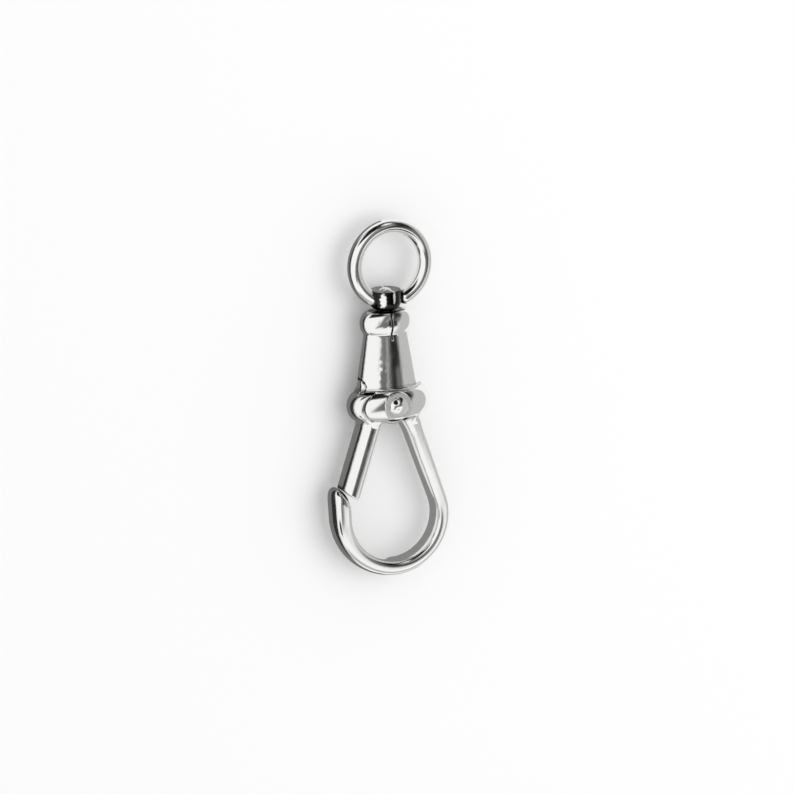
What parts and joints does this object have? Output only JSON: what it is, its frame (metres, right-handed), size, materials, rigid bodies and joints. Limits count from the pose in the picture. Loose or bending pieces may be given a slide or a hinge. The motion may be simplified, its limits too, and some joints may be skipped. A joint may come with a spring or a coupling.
{
  "type": "swivel snap hook",
  "caption": "Polished silver clip: a hollow barrel and hook in one piece, a spring-closed gate on a rivet, and a round ring that swivels on the barrel's end.",
  "frame": {"origin": "on the floor under the middle of the clip's outline, as it lies on its back", "axes": "+Y along the clip towards the swivel ring, +X towards the side opposite the gate, +Z out of the front, where the rivet's domed head is"},
  "size_m": [0.0106, 0.03, 0.0045],
  "materials": {
    "silver": "polished silver with fine wear marks",
    "spring_steel": "drawn steel wire"
  },
  "bodies": {
    "clip": {"hook_body": "silver", "pivot_rivet": "silver", "gate_spring": "spring_steel"},
    "gate": {"gate": "silver"},
    "swivel": {"swivel_ring": "silver", "swivel_pin": "silver"}
  },
  "joints": [
    {"name": "gate_hinge", "type": "hinge", "parent": "clip", "child": "gate", "pos_m": [0.00021, -0.00028, 0.00211], "axis": [0, 0, 1], "range_deg": [0, 28], "stiffness_Nm_per_rad": 0.004, "springref_deg": -28.65, "deforming": ["gate_spring"]},
    {"name": "ring_swivel", "type": "hinge", "parent": "clip", "child": "swivel", "pos_m": [0.00021, 0.0077, 0.00211], "axis": [0, 1, 0], "continuous": true}
  ]
}
